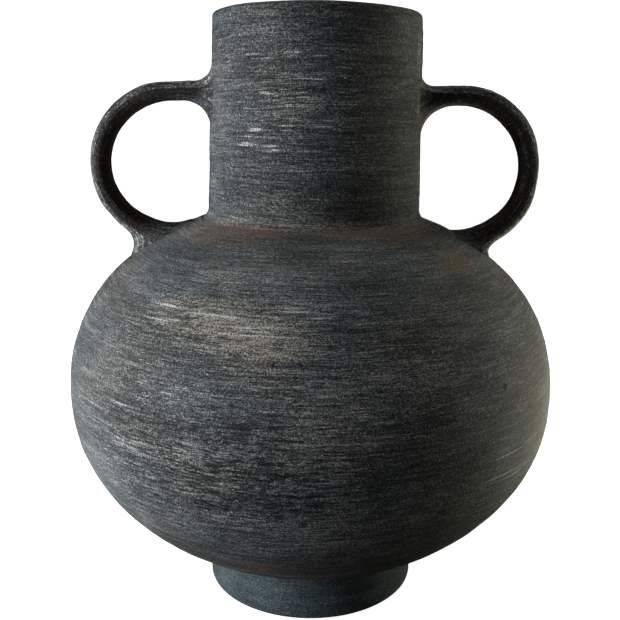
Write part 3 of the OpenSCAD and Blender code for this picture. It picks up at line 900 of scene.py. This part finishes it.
mouth_in = np.vstack([[[MOUTH_R, rise_z(MOUTH_R) - 0.4]],
                      bowl(MOUTH_R, SEAM_R, INNER_R, INNER_RISE, RISE_POWER, 1)])
neck_in = np.array([[RIM_R - NECK_WALL, RIM_Z], [MOUTH_R, rise_z(MOUTH_R)]])
turned("upper_bowl_clay", "upper_bowl", [
    (bowl(BELLY_R, MOUTH_R + 0.8, BELLY_R, RISE, RISE_POWER, 1), fine, "outer", ALONG_BELLY, 1),
    (mouth_in, 2.2, "inner", ALONG_INSIDE + length(neck_in), 1)], "burnished_clay", CLAY)

neck_out = np.array([[float(neck_r(NECK_Z - 2)), NECK_Z - 2], [RIM_R, RIM_Z]])
turned("neck_clay", "neck", [
    (neck_out, fine, "outer", ALONG_NECK - 2, 1),
    (neck_in, 1.6, "inner", ALONG_INSIDE, 1)], "burnished_clay", CLAY)

turned("rim_coil_clay", "rim_coil", [(LIP, fine, "outer", ALONG_RIM, 1)], "burnished_clay", CLAY)

# the fillet in the corner at the neck's foot: a hollow curve whose edges sink into both walls
run_out, run_up, sunk = 4.4, 4.2, 0.28
foot_pt = np.array([NECK_R + run_out, float(rise_z(NECK_R + run_out)) - sunk])
top_pt = np.array([float(neck_r(NECK_Z + run_up)) - sunk, NECK_Z + run_up])
corner = np.array([NECK_R + 0.7, NECK_Z + 0.2])
w = np.linspace(0, 1, 40)[:, None]
hollow = (1 - w) ** 2 * foot_pt + 2 * w * (1 - w) * corner + w ** 2 * top_pt
back = np.array([top_pt + (-1.6, 0.0), (NECK_R - 1.8, NECK_Z - 2.2), foot_pt + (0, -1.8)])
turned("neck_seam_clay", "neck_seam_coil", [
    (hollow, 0.3, "seam", ALONG_NECK - 4.2, 1), (back, 1.5, "plain", 0, 1)], "raw_clay", CLAY)

corner_z = float(drop_z(FOOT_IN))
wedge = np.array([(FOOT_IN - 0.1, corner_z - 4), (FOOT_IN - 1.6, corner_z - 1.9),
                  (FOOT_IN - 4, corner_z - 0.9)])
wedge = resample(wedge, 0.4)[0][::-1]
wedge_back = np.array([(FOOT_IN + 1, corner_z - 4.2), (FOOT_IN + 1.2, corner_z + 1.2),
                       (FOOT_IN - 4, corner_z + 0.6)])
turned("foot_seam_clay", "foot_seam_coil", [
    (wedge_back, 1.0, "plain", 0, 1), (wedge, 0.5, "coil", 20, 1)], "raw_clay", RAW)

coil = arc(INNER_R + 1.5, SEAM_Z, 5, 0, 360, 60)[:-1]
turned("belly_seam_clay", "belly_seam_coil", [(coil, 1.0, "coil", 0, 1)], "raw_clay", RAW)

slab_under = np.vstack([[[1.2, UNDER_Z]], bowl(22.4, FLOOR_R, BELLY_R, DROP, DROP_POWER, -1)])
slab_top = np.vstack([bowl(FLOOR_R, 22.0, INNER_R, INNER_DROP, DROP_POWER, -1), [[1.2, FLOOR_Z]]])
turned("floor_slab_clay", "floor_slab", [
    (slab_under, 1.6, "plain", 60, 1),
    (slab_top, 1.6, "inner", floor_along, 1)], "raw_clay", RAW, pole=True)

handle(-1, cad("left_handle")[1][2] - LOOP_R - STRAP_T / 2, LEFT, 31)
handle(1, cad("right_handle")[1][2] - LOOP_R - STRAP_T / 2, RIGHT, 47)

# ---------------------------------------------------------------- stage, lights, camera
SWEEP_R, CURVE_R, SWEEP_TOP = 1.8, 0.5, 3.6     # flat floor, the curve at its edge, and the top of its wall
SWEEP_Z = -0.0002                               # the floor lies just clear of the resting face
SIDES = 72

curve = np.linspace(0, math.pi / 2, 13)
sweep_line = [(SWEEP_R / 3, 0.0)]
sweep_line += [(SWEEP_R + CURVE_R * math.sin(a), CURVE_R - CURVE_R * math.cos(a)) for a in curve]
sweep_line += [(SWEEP_R + CURVE_R, SWEEP_TOP)]
verts = [(0, 0, SWEEP_Z)]
turns = 2 * math.pi * np.arange(SIDES) / SIDES
for r, z in sweep_line:
    verts += [(r * math.cos(a), r * math.sin(a), z + SWEEP_Z) for a in turns]
faces = [(0, 1 + k, 1 + (k + 1) % SIDES) for k in range(SIDES)]
for low in range(1, 1 + SIDES * (len(sweep_line) - 1), SIDES):
    high = low + SIDES
    faces += [(low + k, high + k, high + (k + 1) % SIDES, low + (k + 1) % SIDES) for k in range(SIDES)]
mesh = bpy.data.meshes.new("pale_sweep")
mesh.from_pydata(verts, [], faces)
mesh.materials.append(PALE)
mesh.shade_smooth()
sweep = bpy.data.objects.new("pale_sweep", mesh)
bpy.context.scene.collection.objects.link(sweep)
sweep.visible_diffuse = sweep.visible_glossy = False     # the sweep does not light the jar from below


def area(name, at, to, size, power, colour):
    """A soft rectangular light, turned to a point and hidden from the camera."""
    data = bpy.data.lights.new(name, "AREA")
    data.shape = "RECTANGLE"
    data.size, data.size_y = size
    data.energy, data.color = power, colour
    ob = bpy.data.objects.new(name, data)
    ob.location = at
    ob.visible_camera = False
    ob.rotation_euler = (mathutils.Vector(to) - mathutils.Vector(at)).to_track_quat("-Z", "Y").to_euler()
    bpy.context.scene.collection.objects.link(ob)


# name, place, where it points, size, watts and colour
area("window_left", (-1.12, -0.25, 0.31), (0, 0, 0.18), (1.0, 0.7), 39, (0.93, 0.985, 1.03))
area("table_left", (-0.46, -0.12, 0.004), (-0.46, -0.12, 1), (0.6, 0.7), 3.8, (0.98, 1.0, 1.0))
area("room_right", (1.05, 0.40, 0.38), (0, 0, 0.15), (0.8, 0.9), 10.2, (1.0, 0.975, 0.79))
area("table_right", (0.46, 0.20, 0.004), (0.46, 0.20, 1), (0.5, 0.6), 4.0, (1.0, 0.98, 0.76))
area("ceiling", (-0.1, -0.1, 1.9), (0, 0, 0.2), (1.4, 1.4), 10, (1.0, 1.0, 0.97))

world = bpy.data.worlds.new("studio")
world.use_nodes = True
bounce = world.node_tree.nodes["Background"]                # faint warm light from all round
bounce.inputs["Color"].default_value = (1.0, 0.99, 0.84, 1)
bounce.inputs["Strength"].default_value = 0.034
bpy.context.scene.world = world

LENS, SENSOR, LOOK_DOWN = 48.83, 36.0, 13                   # millimetres, and degrees below level
cam = bpy.data.cameras.new("camera")
cam.sensor_width, cam.lens = SENSOR, LENS
cam.clip_start, cam.clip_end = 0.02, 20
eye = bpy.data.objects.new("camera", cam)
eye.location = (-0.0005, -0.4693, 0.2679)
eye.rotation_euler = (math.radians(90 - LOOK_DOWN), 0, 0)
bpy.context.scene.collection.objects.link(eye)
bpy.context.scene.camera = eye
bpy.context.scene.view_settings.view_transform = "Standard"
bpy.context.scene.view_settings.look = "None"
